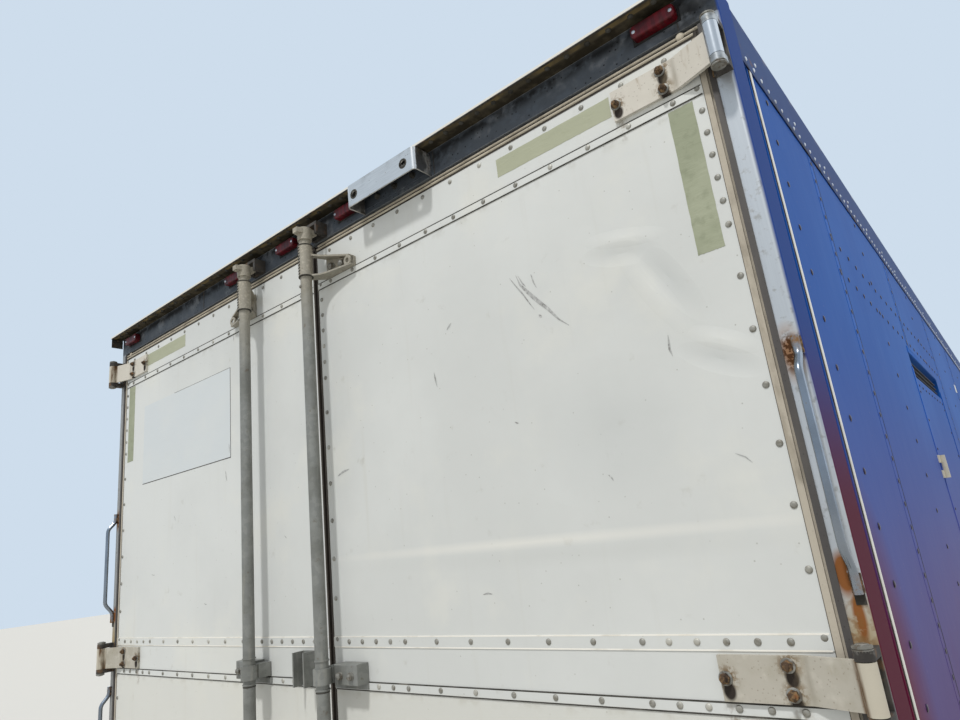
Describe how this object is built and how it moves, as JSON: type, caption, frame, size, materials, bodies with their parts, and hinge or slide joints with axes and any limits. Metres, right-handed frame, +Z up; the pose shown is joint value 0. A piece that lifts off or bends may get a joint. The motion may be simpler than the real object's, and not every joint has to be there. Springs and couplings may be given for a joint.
{
  "type": "van semi trailer",
  "caption": "Dry van semi trailer with hinged rear doors on lock rods, a side door, landing legs and a twin-tyre tandem.",
  "frame": {"origin": "on the ground, half way along the body and on its centre line", "axes": "+X to the right seen from behind, +Y forward to the coupling pin, +Z up"},
  "size_m": [2.618, 14.799, 3.81],
  "materials": {
    "brake_grey": "dusty black",
    "chassis_black": "black chassis enamel",
    "connector_plastic": "cast housing",
    "deck_wood": "oiled laminated hardwood",
    "door_white": "weathered off-white enamel",
    "flap_rubber": "matt rubber",
    "forged_steel": "greasy forged steel",
    "galvanised": "galvanised",
    "hinge_paint": "stained cream paint",
    "hub_iron": "rusty cast iron",
    "lamp_amber": "moulded lens",
    "lamp_red": "moulded lens",
    "leg_paint": "grey-black enamel",
    "rail_aluminium": "mill finish",
    "rim_white": "white wheel enamel",
    "roof_aluminium": "weathered sheet",
    "seal_rubber": "faded seal rubber",
    "side_paint": "gloss plum paint",
    "spring_steel": "rusty black",
    "stainless": "dirty brushed stainless",
    "top_rail_paint": "plum paint",
    "tyre_rubber": "worn tyre rubber"
  },
  "bodies": {
    "trailer": {"air_tanks": "brake_grey", "axles": "chassis_black", "bottom_rails": "rail_aluminium", "brake_chambers": "brake_grey", "cam_keepers": "galvanised", "crossmembers": "chassis_black", "dock_bumpers": "flap_rubber", "floor_deck": "deck_wood", "front_connectors": "connector_plastic", "front_wall": "side_paint", "grab_bars": "galvanised", "header_guard": "stainless", "header_lamps": "lamp_red", "hinge_butts": "hinge_paint", "kingpin": "forged_steel", "landing_legs": "leg_paint", "leaf_springs": "spring_steel", "left_side_wall": "side_paint", "leg_braces": "leg_paint", "mud_flaps": "flap_rubber", "radius_rods": "chassis_black", "rear_guard": "chassis_black", "rear_header": "stainless", "rear_posts": "stainless", "rear_sill": "stainless", "right_side_wall": "side_paint", "roof_panel": "roof_aluminium", "side_door_butts": "hinge_paint", "side_lamps": "lamp_amber", "spring_hangers": "chassis_black", "suspension_subframe": "chassis_black", "tail_lamps": "lamp_red", "top_rails": "top_rail_paint", "upper_coupler": "chassis_black"},
    "left_door": {"left_door_channel": "galvanised", "left_door_seal": "seal_rubber", "left_hinge_leaves": "hinge_paint", "left_lock_rod": "galvanised", "left_rear_door": "door_white", "left_rod_brackets": "galvanised"},
    "right_door": {"right_door_seal": "seal_rubber", "right_hinge_leaves": "hinge_paint", "right_lock_rod": "galvanised", "right_rear_door": "door_white", "right_rod_brackets": "galvanised"},
    "side_door_leaf": {"side_door": "side_paint", "side_door_leaves": "hinge_paint"},
    "rear_left_wheels": {"rear_left_tyres": "tyre_rubber", "rear_left_rims": "rim_white", "rear_left_hub": "hub_iron"},
    "rear_right_wheels": {"rear_right_tyres": "tyre_rubber", "rear_right_rims": "rim_white", "rear_right_hub": "hub_iron"},
    "front_left_wheels": {"front_left_tyres": "tyre_rubber", "front_left_rims": "rim_white", "front_left_hub": "hub_iron"},
    "front_right_wheels": {"front_right_tyres": "tyre_rubber", "front_right_rims": "rim_white", "front_right_hub": "hub_iron"}
  },
  "joints": [
    {"name": "left_door_hinge", "type": "hinge", "parent": "trailer", "child": "left_door", "pos_m": [-1.281, -7.355, 2.55], "axis": [0, 0, -1], "range_deg": [0, 260]},
    {"name": "right_door_hinge", "type": "hinge", "parent": "trailer", "child": "right_door", "pos_m": [1.281, -7.355, 2.55], "axis": [0, 0, 1], "range_deg": [0, 260]},
    {"name": "side_door_hinge", "type": "hinge", "parent": "trailer", "child": "side_door_leaf", "pos_m": [1.3015, -5.687, 2.23], "axis": [0, 0, -1], "range_deg": [0, 120]},
    {"name": "rear_left_wheel_spin", "type": "hinge", "parent": "trailer", "child": "rear_left_wheels", "pos_m": [-0.984, -5.965, 0.508], "axis": [1, 0, 0], "continuous": true},
    {"name": "rear_right_wheel_spin", "type": "hinge", "parent": "trailer", "child": "rear_right_wheels", "pos_m": [0.984, -5.965, 0.508], "axis": [1, 0, 0], "continuous": true},
    {"name": "front_left_wheel_spin", "type": "hinge", "parent": "trailer", "child": "front_left_wheels", "pos_m": [-0.984, -4.72, 0.508], "axis": [1, 0, 0], "continuous": true},
    {"name": "front_right_wheel_spin", "type": "hinge", "parent": "trailer", "child": "front_right_wheels", "pos_m": [0.984, -4.72, 0.508], "axis": [1, 0, 0], "continuous": true}
  ]
}
